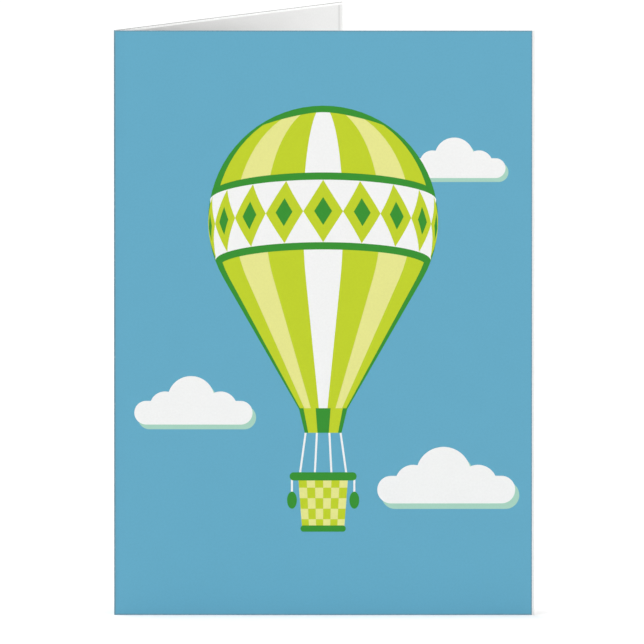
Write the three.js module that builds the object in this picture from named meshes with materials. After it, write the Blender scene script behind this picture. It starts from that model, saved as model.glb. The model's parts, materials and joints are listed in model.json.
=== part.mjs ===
// A folded greeting card that stands half open on its lower edges. One sheet of card stock makes both
// panels: the cover, which faces -Y, and the back panel behind it. They meet along the fold, at the cover's
// left-hand edge. Millimetres, +Z up. The origin is on the surface that the card stands on, under the middle
// of the card's box.

import * as THREE from "three";

// Driving dimensions
const PANEL_WIDTH = 127;
const PANEL_HEIGHT = 177.8;
const STOCK_THICKNESS = 0.4;
const OPENING_ANGLE = THREE.MathUtils.degToRad(56.7);

// The crease takes up this much of each panel, between the fold line and the panel's own edge.
const FOLD_CLEARANCE = 0.15;

// Where the sheet rolls into the crease, its outer corner is round.
const FOLD_ROUNDING = STOCK_THICKNESS;
const ROUNDING_SEGMENTS = 6;

// The printed outside of the cover, and the plain side of the back panel that shows over it.
const PRINT_BLUE = 0x68abc6;
const PAPER_WHITE = 0xeeeeec;
const STOCK_ROUGHNESS = 0.55;

// Which way a panel's outer face lies from its inner face, in the panel's own frame.
const TOWARDS_FRONT = -1;
const TOWARDS_BACK = 1;

function cardStock(name, color) {
  return new THREE.MeshStandardMaterial({ name, color, roughness: STOCK_ROUGHNESS, metalness: 0 });
}

// A panel's section, seen from above. The fold line is at the section's origin, and the inner face lies
// along +X.
function panelSection(outward) {
  const foldEdge = FOLD_CLEARANCE;
  const outerFace = outward * STOCK_THICKNESS;
  const roundingCentre = foldEdge + FOLD_ROUNDING;
  const section = new THREE.Shape();
  section.moveTo(foldEdge, 0);
  section.lineTo(PANEL_WIDTH, 0);
  section.lineTo(PANEL_WIDTH, outerFace);
  section.lineTo(roundingCentre, outerFace);
  section.absarc(
    roundingCentre,
    0,
    FOLD_ROUNDING,
    (outward * Math.PI) / 2,
    outward * Math.PI,
    outward < 0,
  );
  return section;
}

// A panel stands with its fold edge along the Z axis of its own frame.
function panel(name, outward, material) {
  const geometry = new THREE.ExtrudeGeometry(panelSection(outward), {
    depth: PANEL_HEIGHT,
    bevelEnabled: false,
    curveSegments: ROUNDING_SEGMENTS,
  });
  const mesh = new THREE.Mesh(geometry, material);
  mesh.name = name;
  return mesh;
}

// Moves a group so that the middle of its box's lowest face is at the origin.
function standOnOrigin(group) {
  const byEveryVertex = true;
  const box = new THREE.Box3().setFromObject(group, byEveryVertex);
  const middle = box.getCenter(new THREE.Vector3());
  group.position.set(-middle.x, -middle.y, -box.min.z);
}

const cover = panel("front_panel", TOWARDS_FRONT, cardStock("printed stock", PRINT_BLUE));
const back = panel("back_panel", TOWARDS_BACK, cardStock("plain stock", PAPER_WHITE));
back.rotation.z = OPENING_ANGLE;

const card = new THREE.Group();
card.name = "greeting_card";
card.add(cover, back);
standOnOrigin(card);

const part = new THREE.Group();
part.add(card);

export default part;
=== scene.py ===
"""A folded greeting card that stands half open, made from one sheet of printed card stock.

The sheet is drawn flat first, across the fold and up from its lower edge, in millimetres. The printed
picture splits its outside into inked faces. The sheet is then bent round the fold and set in the card's
two panels.
"""

import json
import math

import bpy
import numpy as np
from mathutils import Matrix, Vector
from mathutils.geometry import delaunay_2d_cdt


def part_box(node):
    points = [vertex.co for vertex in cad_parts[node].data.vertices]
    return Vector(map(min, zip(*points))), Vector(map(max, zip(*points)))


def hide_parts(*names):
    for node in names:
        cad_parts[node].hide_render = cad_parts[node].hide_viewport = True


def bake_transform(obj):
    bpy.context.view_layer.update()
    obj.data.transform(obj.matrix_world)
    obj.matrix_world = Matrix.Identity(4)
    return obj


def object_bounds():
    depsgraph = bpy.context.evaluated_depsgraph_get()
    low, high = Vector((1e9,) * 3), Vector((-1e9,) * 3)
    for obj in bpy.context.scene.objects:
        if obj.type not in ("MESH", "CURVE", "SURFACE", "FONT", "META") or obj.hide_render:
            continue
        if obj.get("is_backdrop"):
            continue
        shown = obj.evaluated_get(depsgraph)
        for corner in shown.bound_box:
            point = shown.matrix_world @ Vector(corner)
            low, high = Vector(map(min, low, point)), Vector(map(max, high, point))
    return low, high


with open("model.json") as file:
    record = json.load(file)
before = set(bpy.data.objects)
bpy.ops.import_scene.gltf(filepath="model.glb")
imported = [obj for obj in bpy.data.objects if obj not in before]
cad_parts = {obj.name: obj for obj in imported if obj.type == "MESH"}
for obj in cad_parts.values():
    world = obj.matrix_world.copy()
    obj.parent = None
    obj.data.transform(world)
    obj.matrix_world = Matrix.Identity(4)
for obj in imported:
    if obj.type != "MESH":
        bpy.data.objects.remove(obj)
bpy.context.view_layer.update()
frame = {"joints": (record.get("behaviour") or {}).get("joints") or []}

MM = 0.001

# The card's own sizes, read from the frame
FOLD = np.array(frame["joints"][0]["pos_m"][:2]) / MM
cover_low, cover_high = (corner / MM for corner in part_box("front_panel"))
back_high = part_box("back_panel")[1] / MM
PANEL_WIDTH = cover_high.x - FOLD[0]
PANEL_HEIGHT = cover_high.z - cover_low.z
THICKNESS = cover_high.y - cover_low.y
OPENING = math.acos((back_high.x - FOLD[0]) / PANEL_WIDTH)

# The crease: how far inside the fold line its bend is centred, and how far out the bend blends when it moves
CREASE_SETBACK = 0.25
CREASE_STEPS = 6

# How the stock departs from flat: a bow over each panel, a bead beside the crease, a curl at the free corner
BOW = 0.4
BEAD_HEIGHT = 0.04
BEAD_DISTANCE = 2.7
BEAD_WIDTH = 0.9
CORNER_CURL = 0.6

# The cut edge: the print stops a bare margin short of it at the sheet's sides and ends, the cut bares the
# core in a thin round lip beside the printed face, and the blade has pressed in the plain face's edge
BARE_SIDE, BARE_END = 0.71, 0.03
LIP_SIDE, LIP_END = 0.1, 0.22
LIP_DEPTH = 0.14
LIP_STEPS = 3
PLAIN_BEVEL = 0.75

# Spacing of the sheet's points, close together beside the crease
CREASE_SPACING = 0.45
CREASE_ZONE = 5.4
PANEL_SPACING = 4.0

# Inks and stock, as sRGB
INKS = {
    "blue": (104, 171, 198),
    "lime": (193, 209, 51),
    "green": (62, 146, 57),
    "yellow": (231, 230, 145),
    "aqua": (169, 211, 193),
    "white": (243, 243, 242),
}
GROUND_INK = "blue"
PLAIN = (243, 243, 242)
FIBRE = (250, 250, 249)
# A darker grey: painted shade on the cut edge's lip, and in the lines of painted shade on the plain face
CORE_SHADE_GREY = (188, 188, 187)
# The grey of the painted shade along the print's edges and the crease's ridge
EDGE_SHADE_GREY = (110, 100, 95)

# What the light adds to every colour as sheen, and the share of full light that falls on the print
SHEEN = 0.022
PRINT_LIGHT = 0.95

# The photograph's frame, and the outline in it of the print on the cover, in pixels
PHOTO_SIZE = 644
PRINT_LEFT, PRINT_RIGHT = 114.0, 532.1
PRINT_TOP, PRINT_BOTTOM = 30.7, 615.2

# The camera, with lengths in metres and its sensor in millimetres
CAMERA_ELEVATION = math.radians(5.31)
CAMERA_DISTANCE = 8.5
CAMERA_REACH = 100.0
SENSOR_WIDTH = 36.0


# Outlines on the flat sheet
CURVE_STEP = math.radians(5)


def arc(x, z, radius_x, radius_z, start, end):
    """Points along part of an ellipse, both ends included, with angles in radians."""
    count = max(2, math.ceil(abs(end - start) / CURVE_STEP) + 1)
    angles = np.linspace(start, end, count)
    return [(x + radius_x * math.cos(a), z + radius_z * math.sin(a)) for a in angles]


def ellipse(x, z, radius_x, radius_z):
    return arc(x, z, radius_x, radius_z, 0, math.tau)[:-1]


def rounded_bar(left, low, right, high, radius):
    """A rectangle with round corners."""
    corners = [
        (right - radius, low + radius, -90),
        (right - radius, high - radius, 0),
        (left + radius, high - radius, 90),
        (left + radius, low + radius, 180),
    ]
    points = []
    for x, z, start in corners:
        points += arc(x, z, radius, radius, math.radians(start), math.radians(start + 90))
    return points


def stroke(start, end, width):
    """A straight line with a width."""
    (x0, z0), (x1, z1) = start, end
    length = math.hypot(x1 - x0, z1 - z0)
    side_x = (z0 - z1) / length * width / 2
    side_z = (x1 - x0) / length * width / 2
    return [
        (x0 - side_x, z0 - side_z),
        (x1 - side_x, z1 - side_z),
        (x1 + side_x, z1 + side_z),
        (x0 + side_x, z0 + side_z),
    ]


def placed(shapes, x, z, scale=1.0):
    """The same inked outlines, scaled and then moved."""
    return [(ink, [(x + px * scale, z + pz * scale) for px, pz in outline]) for ink, outline in shapes]


# The hot-air balloon's envelope: its axis is at x = 0, and the basket under it stands at z = 0
ENVELOPE_RADIUS = 35.0
ENVELOPE_CENTRE = 94.0
ENVELOPE_TOP = ENVELOPE_CENTRE + ENVELOPE_RADIUS
ENVELOPE_TAPER = math.radians(30)
TAPER_START = ENVELOPE_CENTRE - ENVELOPE_RADIUS * math.sin(ENVELOPE_TAPER)
MOUTH = 36.0
CROWN_DEPTH = 2.0

# Longitudes on the envelope's near side: of the points on a level ring, and of the seams between gores
NEAR_SIDE = (-math.pi / 2, math.pi / 2)
RING_STEPS = 48
RING_LONGITUDES = np.linspace(*NEAR_SIDE, RING_STEPS + 1)
RING_DROOP = 6.0
GORE_INKS = ["green", "lime", "yellow", "lime", "white", "lime", "yellow", "lime", "green"]
GORE_SEAMS = np.linspace(*NEAR_SIDE, len(GORE_INKS) + 1)

# The band round the envelope, and the diamonds sewn on it
BAND_LEVEL = 97.0
BAND_HALF_HEIGHT = 9.5
BAND_EDGE = 2.2
DIAMOND_STEPS = 5
DIAMOND_CORE_SHARE = 0.45


def envelope_radius(z):
    if z < TAPER_START:
        tip = ENVELOPE_RADIUS / math.cos(ENVELOPE_TAPER)
        return tip - (ENVELOPE_CENTRE - z) * math.tan(ENVELOPE_TAPER)
    return math.sqrt(max(0.0, ENVELOPE_RADIUS**2 - (z - ENVELOPE_CENTRE) ** 2))


def on_envelope(longitude, z):
    """A point on the envelope's near side, on a level ring that is seen from a little below."""
    level = z - RING_DROOP * (1 - math.cos(longitude))
    return envelope_radius(level) * math.sin(longitude), level


def gore(left, right):
    """The envelope's cloth between two longitudes, from the mouth to the crown."""
    angles = np.arange(-ENVELOPE_TAPER, math.pi / 2, CURVE_STEP)
    levels = [MOUTH] + [ENVELOPE_CENTRE + ENVELOPE_RADIUS * math.sin(a) for a in angles]
    up = [(envelope_radius(z) * math.sin(right), z) for z in levels]
    down = [(envelope_radius(z) * math.sin(left), z) for z in reversed(levels)]
    return up + [(0.0, ENVELOPE_TOP)] + down


def band(low, high):
    """A ring of cloth right across the envelope, between two levels."""
    low_edge = [on_envelope(longitude, low) for longitude in RING_LONGITUDES]
    high_edge = [on_envelope(longitude, high) for longitude in RING_LONGITUDES]
    return low_edge + high_edge[::-1]


def diamond(longitude, half_angle, z, half_height):
    """A four-pointed patch sewn on the envelope."""
    corners = [(half_angle, 0), (0, half_height), (-half_angle, 0), (0, -half_height)]
    points = []
    for (a0, z0), (a1, z1) in zip(corners, corners[1:] + corners[:1]):
        for share in np.arange(DIAMOND_STEPS) / DIAMOND_STEPS:
            points.append(on_envelope(longitude + a0 + (a1 - a0) * share, z + z0 + (z1 - z0) * share))
    return points


def crown(low):
    """The cap over the top of the envelope."""
    rim = [on_envelope(longitude, low) for longitude in RING_LONGITUDES]
    side = math.asin((rim[-1][1] - ENVELOPE_CENTRE) / ENVELOPE_RADIUS)
    return rim + arc(0, ENVELOPE_CENTRE, ENVELOPE_RADIUS, ENVELOPE_RADIUS, side, math.pi - side)[1:-1]


def envelope_shapes():
    shapes = [(ink, gore(*GORE_SEAMS[i : i + 2])) for i, ink in enumerate(GORE_INKS)]
    reach = BAND_HALF_HEIGHT + BAND_EDGE
    shapes.append(("green", band(BAND_LEVEL - reach, BAND_LEVEL + reach)))
    shapes.append(("white", band(BAND_LEVEL - BAND_HALF_HEIGHT, BAND_LEVEL + BAND_HALF_HEIGHT)))
    half_angle = (GORE_SEAMS[1] - GORE_SEAMS[0]) / 2
    for middle in GORE_SEAMS[:-1] + half_angle:
        for ink, size in (("lime", 1.0), ("green", DIAMOND_CORE_SHARE)):
            shapes.append((ink, diamond(middle, half_angle * size, BAND_LEVEL, BAND_HALF_HEIGHT * size)))
    shapes.append(("green", crown(ENVELOPE_TOP - CROWN_DEPTH)))
    return shapes


# The skirt under the envelope's mouth
SKIRT_LOW, SKIRT_HIGH = 29.5, 37.0
SKIRT_LOW_RADIUS, SKIRT_HIGH_RADIUS = 5.6, 7.4
SKIRT_INKS = ["green", "lime", "green", "lime", "green"]


def skirt_shapes():
    """The short cloth funnel under the mouth."""
    seams = np.linspace(*NEAR_SIDE, len(SKIRT_INKS) + 1)
    shapes = []
    for ink, left, right in zip(SKIRT_INKS, seams, seams[1:]):
        outline = [
            (SKIRT_LOW_RADIUS * math.sin(left), SKIRT_LOW),
            (SKIRT_LOW_RADIUS * math.sin(right), SKIRT_LOW),
            (SKIRT_HIGH_RADIUS * math.sin(right), SKIRT_HIGH),
            (SKIRT_HIGH_RADIUS * math.sin(left), SKIRT_HIGH),
        ]
        shapes.append((ink, outline))
    return shapes


# The basket, and the places of its ropes as shares of the skirt's radius and of the basket's half width
BASKET_HIGH = 16.0
BASKET_LOW_HALF, BASKET_HIGH_HALF = 6.4, 7.6
BASKET_ROWS, BASKET_COLUMNS = 5, 6
ROPE_WIDTH = 0.6
ROPE_SHARES = (-0.95, -0.34, 0.34, 0.95)

# The basket's rim and foot: how far each one stands out at the sides, and reaches below and above the
# wicker's upper or lower edge
RIM_REACH, RIM_BELOW, RIM_ABOVE, RIM_ROUNDING = 2.6, 1.0, 1.5, 1.2
FOOT_REACH, FOOT_BELOW, FOOT_ABOVE, FOOT_ROUNDING = 0.5, 0.6, 1.3, 0.9

# The basket's ballast bags: how far out and how far down each one hangs from the wicker's upper corner
BAG_REACH, BAG_DROP = 1.9, 7.0
BAG_HALF_WIDTH, BAG_HALF_HEIGHT = 1.5, 2.6


def wicker_corner(column, row):
    """A corner between the basket's wicker cells."""
    high = BASKET_HIGH * row / BASKET_ROWS
    half = BASKET_LOW_HALF + (BASKET_HIGH_HALF - BASKET_LOW_HALF) * high / BASKET_HIGH
    return half * (2 * column / BASKET_COLUMNS - 1), high


def basket_shapes():
    """The wicker basket on its ropes, with a ballast bag at either side."""
    shapes = []
    for share in ROPE_SHARES:
        top = (SKIRT_LOW_RADIUS * share, SKIRT_LOW)
        shapes.append(("white", stroke(top, (BASKET_HIGH_HALF * share, BASKET_HIGH), ROPE_WIDTH)))
    for row in range(BASKET_ROWS):
        for column in range(BASKET_COLUMNS):
            cell = [(column, row), (column + 1, row), (column + 1, row + 1), (column, row + 1)]
            ink = "yellow" if (row + column) % 2 else "lime"
            shapes.append((ink, [wicker_corner(*corner) for corner in cell]))
    for side in (-1, 1):
        bag = (side * (BASKET_HIGH_HALF + BAG_REACH), BASKET_HIGH - BAG_DROP)
        shapes.append(("white", stroke((bag[0], BASKET_HIGH), bag, ROPE_WIDTH)))
        shapes.append(("green", ellipse(*bag, BAG_HALF_WIDTH, BAG_HALF_HEIGHT)))
    rim = BASKET_HIGH_HALF + RIM_REACH
    foot = BASKET_LOW_HALF + FOOT_REACH
    rim_bar = rounded_bar(-rim, BASKET_HIGH - RIM_BELOW, rim, BASKET_HIGH + RIM_ABOVE, RIM_ROUNDING)
    foot_bar = rounded_bar(-foot, -FOOT_BELOW, foot, FOOT_ABOVE, FOOT_ROUNDING)
    return shapes + [("green", rim_bar), ("green", foot_bar)]


# A cloud of unit width: a flat bar with round puffs on it, given as place, height and radius. The bar's
# rounding is a hair under half its height, so that no two of its points fall together
CLOUD_BAR_HEIGHT = 0.2
CLOUD_BAR_ROUNDING = 0.0999
CLOUD_PUFFS = [(-0.24, 0.15, 0.13), (-0.02, 0.21, 0.2), (0.23, 0.14, 0.14)]
CLOUD_SHADE_SHIFT = (0.03, -0.04)


def cloud_shapes():
    """A white cloud over its own pale shade."""
    outlines = [rounded_bar(-0.5, 0.0, 0.5, CLOUD_BAR_HEIGHT, CLOUD_BAR_ROUNDING)]
    outlines += [ellipse(x, z, radius, radius) for x, z, radius in CLOUD_PUFFS]
    shade = [("aqua", outline) for outline in outlines]
    white = [("white", outline) for outline in outlines]
    return placed(shade, *CLOUD_SHADE_SHIFT) + white


# The whole picture: each thing's place from the fold and from the lower edge, and its scale
BALLOON_PLACES = [(63.5, 26.0, 1.0), (-72.0, 98.0, 0.34)]
CLOUD_PLACES = [
    (24.0, 58.0, 36.0),
    (101.0, 34.0, 42.0),
    (104.0, 133.0, 30.0),
    (-30.0, 140.0, 34.0),
    (-98.0, 62.0, 40.0),
    (-40.0, 32.0, 46.0),
]


def picture():
    shapes = []
    for place in CLOUD_PLACES:
        shapes += placed(cloud_shapes(), *place)
    for place in BALLOON_PLACES:
        shapes += placed(envelope_shapes() + skirt_shapes() + basket_shapes(), *place)
    return shapes


# The bent sheet
HALF_OPENING = OPENING / 2
INWARD = np.array([math.cos(HALF_OPENING), math.sin(HALF_OPENING)])
TOWARDS_COVER = np.array([math.sin(HALF_OPENING), -math.cos(HALF_OPENING)])
CREASE_CENTRE = FOLD + INWARD * CREASE_SETBACK
CREASE_INNER_RADIUS = CREASE_SETBACK * math.sin(HALF_OPENING)
CREASE_MIDDLE_RADIUS = CREASE_INNER_RADIUS + THICKNESS / 2
CREASE_HALF_TURN = (math.pi - OPENING) / 2
CREASE_HALF_LENGTH = CREASE_MIDDLE_RADIUS * CREASE_HALF_TURN
SHEET_HALF = CREASE_HALF_LENGTH + PANEL_WIDTH - CREASE_SETBACK * math.cos(HALF_OPENING)


def relief(distance, height):
    """How far a panel stands out from its flat plane, at a distance from the crease and a height."""
    share = distance / PANEL_WIDTH
    bow = BOW * np.sin(np.pi * share)
    bead = BEAD_HEIGHT * np.exp(-(((distance - BEAD_DISTANCE) / BEAD_WIDTH) ** 2))
    curl = CORNER_CURL * share**3 * (height / PANEL_HEIGHT) ** 2
    return bow + bead + curl


def bent(across, height, layer):
    """Places of points on the sheet, in metres. Layer is the depth from the inner face, in millimetres."""
    turn = np.clip(across / CREASE_MIDDLE_RADIUS, -CREASE_HALF_TURN, CREASE_HALF_TURN)
    outward = np.outer(np.sin(turn), TOWARDS_COVER) - np.outer(np.cos(turn), INWARD)
    along = np.stack([-outward[:, 1], outward[:, 0]], 1)
    distance = np.maximum(np.abs(across) - CREASE_HALF_LENGTH, 0.0)
    depth = CREASE_INNER_RADIUS + layer + relief(distance, height) * (distance > 0)
    plan = CREASE_CENTRE + outward * depth[:, None] + along * (np.sign(across) * distance)[:, None]
    return np.column_stack([plan, height]) * MM


def columns():
    """Distances across the sheet at which its points stand."""
    crease = np.linspace(0, CREASE_HALF_LENGTH, CREASE_STEPS + 1)
    beside = np.arange(CREASE_HALF_LENGTH + CREASE_SPACING, CREASE_ZONE, CREASE_SPACING)
    count = round((SHEET_HALF - CREASE_ZONE) / PANEL_SPACING)
    panel = np.linspace(CREASE_ZONE, SHEET_HALF, count + 1)
    half = np.concatenate([crease, beside, panel])
    return np.concatenate([-half[:0:-1], half])


def rows():
    """Heights up the sheet at which its points stand."""
    return np.linspace(0, PANEL_HEIGHT, round(PANEL_HEIGHT / PANEL_SPACING) + 1)


def sheet_border():
    """The flat sheet's outline, anticlockwise from its lower back corner."""
    across, up = columns(), rows()
    low = [(a, 0.0) for a in across[:-1]]
    right = [(SHEET_HALF, z) for z in up[:-1]]
    high = [(a, PANEL_HEIGHT) for a in across[:0:-1]]
    left = [(-SHEET_HALF, z) for z in up[:0:-1]]
    return low + right + high + left


def anticlockwise(outline):
    """The same outline, turned round if it runs clockwise."""
    following = outline[1:] + outline[:1]
    doubled_area = sum(x0 * z1 - x1 * z0 for (x0, z0), (x1, z1) in zip(outline, following))
    return outline if doubled_area > 0 else outline[::-1]


# What the triangulation keeps, and how near to each other two points are one
INSIDE_ONLY = 1
SAME_POINT = 1e-5


def triangulated(border, shapes):
    """Splits the flat sheet into triangles, along the shapes' outlines and the crease's columns.

    Returns the points, the triangles and each triangle's ink, which is that of the last shape over it.
    """
    points = list(border)
    faces = [list(range(len(border)))]
    for _, outline in shapes:
        faces.append(list(range(len(points), len(points) + len(outline))))
        points += anticlockwise(outline)
    edges = []
    for across in columns()[1:-1]:
        first = len(points)
        points += [(across, height) for height in rows()]
        if abs(across) < CREASE_ZONE:
            edges += [(i, i + 1) for i in range(first, len(points) - 1)]
    made = delaunay_2d_cdt([Vector(p) for p in points], edges, faces, INSIDE_ONLY, SAME_POINT)
    places, _, triangles, _, _, covering = made
    inks = [GROUND_INK] + [ink for ink, _ in shapes]
    return np.array([tuple(p) for p in places]), triangles, [inks[max(over)] for over in covering]


# The sheet as one closed mesh
SLOTS = [*INKS, "inside", "margin", "edge", "core"]
PERIMETER = 4 * SHEET_HALF + 2 * PANEL_HEIGHT

# How near to the sheet's border a point is on it
TOUCHING = 1e-3

# The crease's own steps turn by less than this, and the bevel's edges by more
SHARP_ANGLE = math.radians(13)

# Shares of the baked image: the printed outside, the plain inside under it, and the cut edges between
BAKE_MARGIN = 0.004
BAKE_OUTSIDE = (0.302, 0.996)
BAKE_INSIDE = (0.004, 0.272)
BAKE_EDGE = (0.277, 0.297)


def border_places(points):
    """Distances round the sheet's border, from its lower back corner, or NaN for points inside it."""
    across, height = points.T
    sides = [
        height < TOUCHING,
        across > SHEET_HALF - TOUCHING,
        height > PANEL_HEIGHT - TOUCHING,
        across < TOUCHING - SHEET_HALF,
    ]
    width = 2 * SHEET_HALF
    places = [
        across + SHEET_HALF,
        width + height,
        width + PANEL_HEIGHT + SHEET_HALF - across,
        2 * width + 2 * PANEL_HEIGHT - height,
    ]
    return np.select(sides, places, np.nan)


def border_loop(points):
    """The border's points, anticlockwise from the lower back corner."""
    places = border_places(points)
    return np.argsort(places)[: np.count_nonzero(~np.isnan(places))]


def drawn_in(points, side, end):
    """The same points of the flat sheet, with its border moved in by a margin at its sides and its ends."""
    middle = np.array([0.0, PANEL_HEIGHT / 2])
    half_size = np.array([SHEET_HALF, PANEL_HEIGHT / 2])
    return middle + (points - middle) * (1 - np.array([side, end]) / half_size)


def lip_profile():
    """The lip's rings, from its ridge to the bevel: how far each is set back, as a share, and its layer."""
    angles = np.linspace(0, math.pi / 2, LIP_STEPS + 1)
    return [(1 - math.cos(a), THICKNESS - LIP_DEPTH * math.sin(a)) for a in angles]


def on_bake(points, part):
    low, high = part
    across = BAKE_MARGIN + (points[:, 0] / SHEET_HALF + 1) / 2 * (1 - 2 * BAKE_MARGIN)
    up = low + points[:, 1] / PANEL_HEIGHT * (high - low)
    return np.column_stack([across, up])


def on_edge_bake(run, share):
    low, high = BAKE_EDGE
    return BAKE_MARGIN + run / PERIMETER * (1 - 2 * BAKE_MARGIN), high - (high - low) * share


def card_mesh():
    """The bent sheet: its printed face and its plain one, joined round the cut edge."""
    outer, outer_faces, outer_inks = triangulated(sheet_border(), picture())
    outer_loop = border_loop(outer)
    border = outer[outer_loop]
    inner, inner_faces, _ = triangulated([tuple(p) for p in border], [])
    inner_loop = border_loop(inner)
    printed = drawn_in(outer, BARE_SIDE, BARE_END)
    plain = drawn_in(inner, PLAIN_BEVEL, PLAIN_BEVEL)

    # The two faces
    points = [bent(*printed.T, THICKNESS), bent(*plain.T, 0.0)]
    first_inner = len(outer)
    faces = [list(face) for face in outer_faces]
    faces += [[first_inner + i for i in reversed(face)] for face in inner_faces]
    slots = [*outer_inks, *["inside"] * len(inner_faces)]

    # Places on the flat sheet in millimetres, with the plain face's moved up clear of the printed one's, and
    # on the baked image, for each corner of each face
    flat = np.vstack([printed, plain + [0.0, 2 * PANEL_HEIGHT]])
    bake = np.vstack([on_bake(printed, BAKE_OUTSIDE), on_bake(plain, BAKE_INSIDE)])
    corners = np.concatenate(faces)
    flat_corners = list(flat[corners])
    bake_corners = list(bake[corners])

    # The cut edge, ring by ring from the print to the plain face. Its places on the sheet are the run round
    # the border and the layer
    rings, layers = [outer_loop], [THICKNESS]
    for setback, layer in lip_profile():
        rings.append(sum(map(len, points)) + np.arange(len(border)))
        layers.append(layer)
        points.append(bent(*drawn_in(border, setback * LIP_SIDE, setback * LIP_END).T, layer))
    rings.append(first_inner + inner_loop)
    layers.append(0.0)
    run = np.append(border_places(border), PERIMETER)
    following = np.roll(np.arange(len(border)), -1)
    last = len(rings) - 1
    # The lip's faces take the darker grey of painted shade along the cut edge
    for step, slot in enumerate(["margin", *["core"] * LIP_STEPS, "edge"]):
        for i, j in enumerate(following):
            faces.append([rings[step][i], rings[step + 1][i], rings[step + 1][j], rings[step][j]])
            slots.append(slot)
            for place, ring in ((i, step), (i, step + 1), (i + 1, step + 1), (i + 1, step)):
                flat_corners.append((run[place], layers[ring]))
                bake_corners.append(on_edge_bake(run[place], ring / last))

    mesh = bpy.data.meshes.new("card")
    mesh.from_pydata(np.vstack(points).tolist(), [], [[int(i) for i in face] for face in faces])
    for name, places in (("Sheet", flat_corners), ("OFBake", bake_corners)):
        uv_map = mesh.uv_layers.new(name=name)
        uv_map.uv.foreach_set("vector", np.array(places, np.float32).ravel())
    mesh.polygons.foreach_set("material_index", [SLOTS.index(slot) for slot in slots])
    mesh.shade_smooth()
    mesh.set_sharp_from_angle(angle=SHARP_ANGLE)
    return mesh


# Card stock. Noise scales are in waves to the millimetre, and each range is one of a noise's values
FIBRE_SCALE, FIBRE_DETAIL, FIBRE_SHARE = 1.6, 3.0, 0.75
BLOTCH_SCALE, BLOTCH_SHARE = 0.09, 0.25
UNEVEN_RANGE = (0.35, 0.65)
GRAIN_SCALE, GRAIN_DETAIL, GRAIN_RANGE = 3.2, 4.0, (0.3, 0.7)
ROUGHNESS_SPREAD = 0.06
TOOTH_DEPTH = 0.02
SPECULAR_LEVEL = 0.3

# Flecks where the print has broken on the crease's ridge, in loose patches
RIDGE_STRENGTH, RIDGE_FULL, RIDGE_END = 0.28, 0.05, 0.4
FLECK_SCALE, FLECK_DETAIL, FLECK_RANGE = 3.0, 4.0, (0.5, 0.68)
FLECK_STRETCH = (1.0, 0.35)
PATCH_SCALE, PATCH_RANGE, PATCH_LEAST = 0.06, (0.42, 0.62), 0.25

# Painted shade: a fine grey line that darkens the print along its edges and down the crease's ridge
EDGE_SHADE_STRENGTH, EDGE_SHADE_FULL, EDGE_SHADE_END = 0.45, 0.05, 0.55

# Scuffs on the print beside the cut edge
SCUFF_STRENGTH, SCUFF_WIDTH = 0.15, 0.3
SCUFF_SCALE, SCUFF_RANGE = 1.3, (0.4, 0.6)

# Painted shade in fine lines on the plain face: in the crease, and at a distance from the free edges
CREASE_SHADE_STRENGTH, CREASE_SHADE_FULL, CREASE_SHADE_END = 0.4, 0.15, 0.7
EDGE_LINE_SHADE_STRENGTH, EDGE_LINE_SHADE_FULL, EDGE_LINE_SHADE_END = 0.31, 0.45, 0.7
EDGE_LINE_SHADE_DISTANCE = 2.4


def linear(colour, brightness=1.0):
    """An sRGB colour, 0 to 255, as a shader takes it, less the sheen that the light adds to it."""
    shares = [c / 255 for c in colour]
    curved = [c / 12.92 if c <= 0.04045 else ((c + 0.055) / 1.055) ** 2.4 for c in shares]
    return [max(0.0, c - SHEEN) * brightness for c in curved] + [1.0]


def set_or_link(tree, value, socket):
    if isinstance(value, bpy.types.NodeSocket):
        tree.links.new(value, socket)
    else:
        socket.default_value = value


def calculated(tree, operation, first, second=0.0):
    node = tree.nodes.new("ShaderNodeMath")
    node.operation = operation
    set_or_link(tree, first, node.inputs[0])
    set_or_link(tree, second, node.inputs[1])
    return node.outputs[0]


def ranged(tree, value, from_low, from_high, to_low=0.0, to_high=1.0):
    node = tree.nodes.new("ShaderNodeMapRange")
    tree.links.new(value, node.inputs["Value"])
    limits = {"From Min": from_low, "From Max": from_high, "To Min": to_low, "To Max": to_high}
    for name, limit in limits.items():
        node.inputs[name].default_value = limit
    return node.outputs["Result"]


def mixed(tree, share, first, second):
    """A blend of two colours, whose sockets the mix node gives only by number."""
    node = tree.nodes.new("ShaderNodeMix")
    node.data_type = "RGBA"
    colour_a, colour_b, colour_out = 6, 7, 2
    set_or_link(tree, share, node.inputs["Factor"])
    set_or_link(tree, first, node.inputs[colour_a])
    set_or_link(tree, second, node.inputs[colour_b])
    return node.outputs[colour_out]


def sheet_places(tree, stretch=(1.0, 1.0)):
    """Places on the flat sheet, in millimetres, stretched across and up."""
    uv = tree.nodes.new("ShaderNodeUVMap")
    uv.uv_map = "Sheet"
    mapping = tree.nodes.new("ShaderNodeMapping")
    tree.links.new(uv.outputs["UV"], mapping.inputs["Vector"])
    mapping.inputs["Scale"].default_value = (*stretch, 1.0)
    return mapping.outputs["Vector"]


def from_crease_and_foot(tree, places):
    """Distances of places on the flat sheet from the crease, and from the sheet's lower edge."""
    split = tree.nodes.new("ShaderNodeSeparateXYZ")
    tree.links.new(places, split.inputs["Vector"])
    return calculated(tree, "ABSOLUTE", split.outputs["X"]), split.outputs["Y"]


def noise(tree, places, scale, detail=2.0):
    node = tree.nodes.new("ShaderNodeTexNoise")
    tree.links.new(places, node.inputs["Vector"])
    node.inputs["Scale"].default_value = scale
    node.inputs["Detail"].default_value = detail
    return node.outputs["Fac"]


def from_print_edge(tree, from_crease, height):
    """Distances from the nearest edge of the print."""
    from_side = calculated(tree, "SUBTRACT", SHEET_HALF - BARE_SIDE, from_crease)
    from_top = calculated(tree, "SUBTRACT", PANEL_HEIGHT - BARE_END, height)
    from_foot = calculated(tree, "SUBTRACT", height, BARE_END)
    return calculated(tree, "MINIMUM", from_side, calculated(tree, "MINIMUM", from_top, from_foot))


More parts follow.
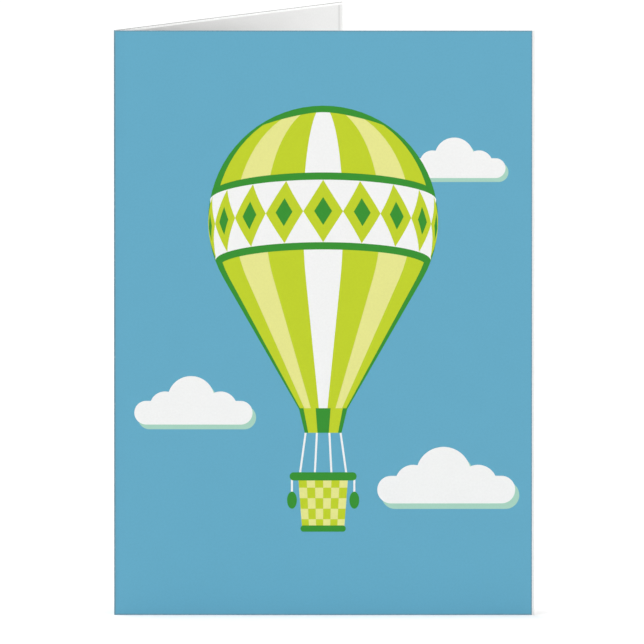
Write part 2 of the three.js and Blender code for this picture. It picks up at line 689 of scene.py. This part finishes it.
def painted_edge_shade(tree, places):
    """Where painted shade darkens the print: in a fine line along its edges and down the crease's ridge."""
    from_crease, height = from_crease_and_foot(tree, places)
    nearest = calculated(tree, "MINIMUM", from_crease, from_print_edge(tree, from_crease, height))
    return ranged(tree, nearest, EDGE_SHADE_FULL, EDGE_SHADE_END, EDGE_SHADE_STRENGTH, 0.0)


def broken_print(tree, places):
    """Where the print has broken: in flecks on the crease's ridge, and in scuffs along the cut edges."""
    from_crease, height = from_crease_and_foot(tree, places)
    flecks = noise(tree, sheet_places(tree, FLECK_STRETCH), FLECK_SCALE, FLECK_DETAIL)
    patches = ranged(tree, noise(tree, places, PATCH_SCALE), *PATCH_RANGE, PATCH_LEAST, 1.0)
    ridge = ranged(tree, from_crease, RIDGE_FULL, RIDGE_END, RIDGE_STRENGTH, 0.0)
    ridge = calculated(tree, "MULTIPLY", ridge, ranged(tree, flecks, *FLECK_RANGE))
    ridge = calculated(tree, "MULTIPLY", ridge, patches)

    from_edge = from_print_edge(tree, from_crease, height)
    rubbed = ranged(tree, from_edge, 0.0, SCUFF_WIDTH, SCUFF_STRENGTH, 0.0)
    scuffs = ranged(tree, noise(tree, places, SCUFF_SCALE), *SCUFF_RANGE)
    return calculated(tree, "MAXIMUM", ridge, calculated(tree, "MULTIPLY", rubbed, scuffs))


def painted_crease_and_edge_shade(tree, places):
    """Where painted shade darkens the plain face: in fine lines in the crease and along the free edges."""
    from_crease, _ = from_crease_and_foot(tree, places)
    past_line = calculated(tree, "SUBTRACT", from_crease, SHEET_HALF - EDGE_LINE_SHADE_DISTANCE)
    from_line = calculated(tree, "ABSOLUTE", past_line)
    crease_shade = ranged(tree, from_crease, CREASE_SHADE_FULL, CREASE_SHADE_END, CREASE_SHADE_STRENGTH, 0.0)
    edge_line_shade = ranged(tree, from_line, EDGE_LINE_SHADE_FULL, EDGE_LINE_SHADE_END, EDGE_LINE_SHADE_STRENGTH, 0.0)
    return calculated(tree, "MAXIMUM", crease_shade, edge_line_shade)


def stock(name, colour, roughness, tooth, mottle, light=1.0, marks=()):
    """Card stock: its colour mottled by fibres and by uneven ink, with the paper's fine tooth as a bump.

    Light is the share of full light that falls on it. Each of the marks is a pair: the function that says
    where another colour shows, and that colour.
    """
    material = bpy.data.materials.new(name)
    material.use_nodes = True
    tree = material.node_tree
    shader = tree.nodes["Principled BSDF"]
    places = sheet_places(tree)

    fibres = calculated(tree, "MULTIPLY", noise(tree, places, FIBRE_SCALE, FIBRE_DETAIL), FIBRE_SHARE)
    blotches = calculated(tree, "MULTIPLY", noise(tree, places, BLOTCH_SCALE), BLOTCH_SHARE)
    uneven = ranged(tree, calculated(tree, "ADD", fibres, blotches), *UNEVEN_RANGE)
    tone = mixed(tree, uneven, linear(colour, (1 - mottle) / light), linear(colour, (1 + mottle) / light))
    for where, other in marks:
        tone = mixed(tree, where(tree, places), tone, linear(other))
    tree.links.new(tone, shader.inputs["Base Color"])

    grain = noise(tree, places, GRAIN_SCALE, GRAIN_DETAIL)
    rough = ranged(tree, grain, *GRAIN_RANGE, roughness - ROUGHNESS_SPREAD, roughness + ROUGHNESS_SPREAD)
    tree.links.new(rough, shader.inputs["Roughness"])
    bump = tree.nodes.new("ShaderNodeBump")
    bump.inputs["Strength"].default_value = tooth
    bump.inputs["Distance"].default_value = TOOTH_DEPTH * MM
    tree.links.new(grain, bump.inputs["Height"])
    tree.links.new(bump.outputs["Normal"], shader.inputs["Normal"])
    shader.inputs["Specular IOR Level"].default_value = SPECULAR_LEVEL
    return material


def sheet_materials():
    """The sheet's materials, in the order of its slots."""
    printed = {
        "roughness": 0.5,
        "tooth": 0.35,
        "mottle": 0.02,
        "light": PRINT_LIGHT,
        # Painted shade along the print's edges and crease, then real breaks in the print
        "marks": [(painted_edge_shade, EDGE_SHADE_GREY), (broken_print, FIBRE)],
    }
    plain = {"roughness": 0.8, "tooth": 1.0, "mottle": 0.02}
    made = [stock(f"ink_{name}", ink, **printed) for name, ink in INKS.items()]
    # The plain inside, darkened by painted shade lines in the crease and near the free edges
    made.append(stock("stock_inside", PLAIN, **plain, marks=[(painted_crease_and_edge_shade, CORE_SHADE_GREY)]))
    made.append(stock("stock_margin", PLAIN, **plain))
    made.append(stock("stock_edge", FIBRE, roughness=0.9, tooth=1.0, mottle=0.05))
    # The lip takes the darker grey as painted shade along the cut edge
    made.append(stock("stock_core_painted_shade", CORE_SHADE_GREY, roughness=0.9, tooth=1.0, mottle=0.08))
    return made


def folded_card():
    """The card as one piece, bent round the crease, in place of the two panels."""
    card = bpy.data.objects.new("card", card_mesh())
    bpy.context.scene.collection.objects.link(card)
    for material in sheet_materials():
        card.data.materials.append(material)
    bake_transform(card)
    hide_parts("front_panel", "back_panel")


# The floor, with lengths in metres, and a white room that looks brighter to the camera than it lights
FLOOR_HALF = 20.0
FLOOR_GREY = 0.9
FLOOR_ROUGHNESS = 0.9
ROOM_LIGHT = 0.27
ROOM_SEEN = 1.2

# Lamps: azimuth from in front of the cover, elevation and spread, in degrees, and strength. The low ones at
# the right are half sunk below the floor's edge, so that they only graze the card's inside
LAMPS = {
    "overhead": (-60, 86.6, 14, 2.58),
    "front": (-30, 30, 30, 0.32),
    "rear": (205, 30, 30, 0.45),
    "low_right_front": (40, -3.5, 15, 1.5),
    "low_right_middle": (55, -3.5, 15, 1.5),
    "low_right_side": (70, -3.5, 15, 1.5),
}


def pale_floor():
    mesh = bpy.data.meshes.new("floor")
    corners = [(-1, -1), (1, -1), (1, 1), (-1, 1)]
    mesh.from_pydata([(x * FLOOR_HALF, y * FLOOR_HALF, 0.0) for x, y in corners], [], [(0, 1, 2, 3)])
    material = bpy.data.materials.new("floor")
    material.use_nodes = True
    shader = material.node_tree.nodes["Principled BSDF"]
    shader.inputs["Base Color"].default_value = (FLOOR_GREY, FLOOR_GREY, FLOOR_GREY, 1.0)
    shader.inputs["Roughness"].default_value = FLOOR_ROUGHNESS
    shader.inputs["Specular IOR Level"].default_value = 0.0
    mesh.materials.append(material)
    floor = bpy.data.objects.new("floor", mesh)
    bpy.context.scene.collection.objects.link(floor)
    floor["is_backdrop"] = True


def soft_light(name, azimuth, elevation, spread, strength):
    """Even light from one side, as from a very large softbox."""
    light = bpy.data.lights.new(name, "SUN")
    light.angle = math.radians(spread)
    light.energy = strength
    lamp = bpy.data.objects.new(name, light)
    lamp.rotation_euler = (math.radians(90 - elevation), 0.0, math.radians(azimuth))
    bpy.context.scene.collection.objects.link(lamp)


def studio_light():
    """The white room and its lamps."""
    world = bpy.data.worlds.new("studio")
    world.use_nodes = True
    tree = world.node_tree
    background = tree.nodes["Background"]
    background.inputs["Color"].default_value = (1.0, 1.0, 1.0, 1.0)
    path = tree.nodes.new("ShaderNodeLightPath")
    seen_or_not = ranged(tree, path.outputs["Is Camera Ray"], 0.0, 1.0, ROOM_LIGHT, ROOM_SEEN)
    tree.links.new(seen_or_not, background.inputs["Strength"])
    bpy.context.scene.world = world
    for name, settings in LAMPS.items():
        soft_light(name, *settings)


def photograph_camera():
    """A camera far in front and a little above, which shows the cover's print where the photograph does."""
    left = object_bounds()[0].x
    right = (cover_high.x - BARE_SIDE) * MM
    print_height = (PANEL_HEIGHT - 2 * BARE_END) * MM
    scale_across = (PRINT_RIGHT - PRINT_LEFT) / (right - left)
    scale_up = (PRINT_BOTTOM - PRINT_TOP) / (print_height * math.cos(CAMERA_ELEVATION))
    scale = (scale_across + scale_up) / 2
    middle = PHOTO_SIZE / 2
    aim = Vector((
        (left + right) / 2 + (middle - (PRINT_LEFT + PRINT_RIGHT) / 2) / scale,
        cover_low.y * MM,
        BARE_END * MM + (PRINT_BOTTOM - middle) / (PRINT_BOTTOM - PRINT_TOP) * print_height,
    ))
    camera = bpy.data.cameras.new("camera")
    camera.sensor_width = SENSOR_WIDTH
    camera.lens = SENSOR_WIDTH * CAMERA_DISTANCE / (PHOTO_SIZE / scale)
    camera.clip_end = CAMERA_REACH
    viewer = bpy.data.objects.new("camera", camera)
    away = Vector((0.0, -math.cos(CAMERA_ELEVATION), math.sin(CAMERA_ELEVATION)))
    viewer.location = aim + away * CAMERA_DISTANCE
    viewer.rotation_euler = (-away).to_track_quat("-Z", "Y").to_euler()
    bpy.context.scene.collection.objects.link(viewer)
    bpy.context.scene.camera = viewer


folded_card()
pale_floor()
studio_light()
photograph_camera()
bpy.context.scene.view_settings.view_transform = "Standard"
